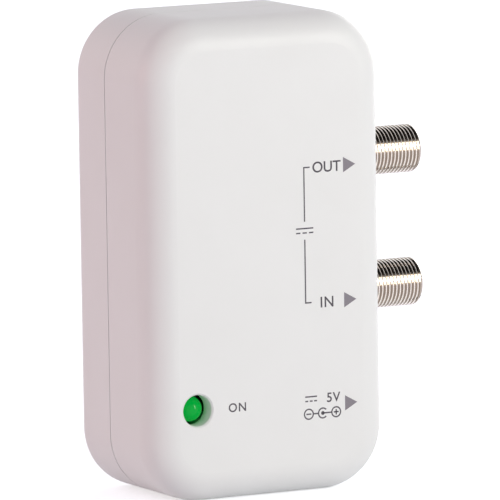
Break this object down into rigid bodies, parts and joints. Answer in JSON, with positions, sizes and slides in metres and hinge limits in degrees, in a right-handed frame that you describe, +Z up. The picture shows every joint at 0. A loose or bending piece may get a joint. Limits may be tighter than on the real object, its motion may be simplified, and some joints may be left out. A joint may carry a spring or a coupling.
{
  "type": "tv signal amplifier",
  "caption": "Small two-shell plastic tv signal amplifier with threaded coaxial ports and a power jack on one side, a recessed green lamp in front and keyholes in the back.",
  "frame": {"origin": "middle of the underside of the case, half way between its front and its back", "axes": "+X to the right towards the threaded ports, +Y to the back, +Z up, as seen from the front"},
  "size_m": [0.0671, 0.032, 0.094],
  "materials": {
    "white_abs": "moulded, fine satin",
    "nickel_plate": "bright nickel plate on turned brass",
    "tinned_contact": "tinned",
    "port_insulator": "moulded",
    "black_plastic": "moulded",
    "green_lamp": "clear tinted epoxy",
    "circuit_board": "solder mask",
    "tinplate": "rolled tinplate",
    "zinc_steel": "bright zinc plate",
    "capacitor_sleeve": "shrunk sleeve",
    "ferrite": "sintered",
    "copper_wire": "enamelled",
    "chip_ceramic": "fired"
  },
  "bodies": {
    "root": {"front_cover": "white_abs", "rear_cover": "white_abs", "case_screws": "zinc_steel", "main_board": "circuit_board", "shield_frame": "tinplate", "shield_partition": "tinplate", "shield_lid": "tinplate", "output_connector": "nickel_plate", "output_insulator": "port_insulator", "output_contact": "tinned_contact", "input_connector": "nickel_plate", "input_insulator": "port_insulator", "input_contact": "tinned_contact", "dc_jack_body": "black_plastic", "dc_jack_pin": "tinned_contact", "dc_jack_spring": "tinned_contact", "power_led": "green_lamp", "led_leads": "zinc_steel", "led_spacer": "black_plastic", "electrolytic_capacitors": "capacitor_sleeve", "choke_core": "ferrite", "choke_winding": "copper_wire", "voltage_regulator": "black_plastic", "amplifier_chip": "black_plastic", "chip_capacitors": "chip_ceramic", "chip_resistors": "chip_ceramic", "air_coils": "copper_wire", "ferrite_core": "ferrite", "ferrite_winding": "copper_wire"}
  },
  "joints": []
}
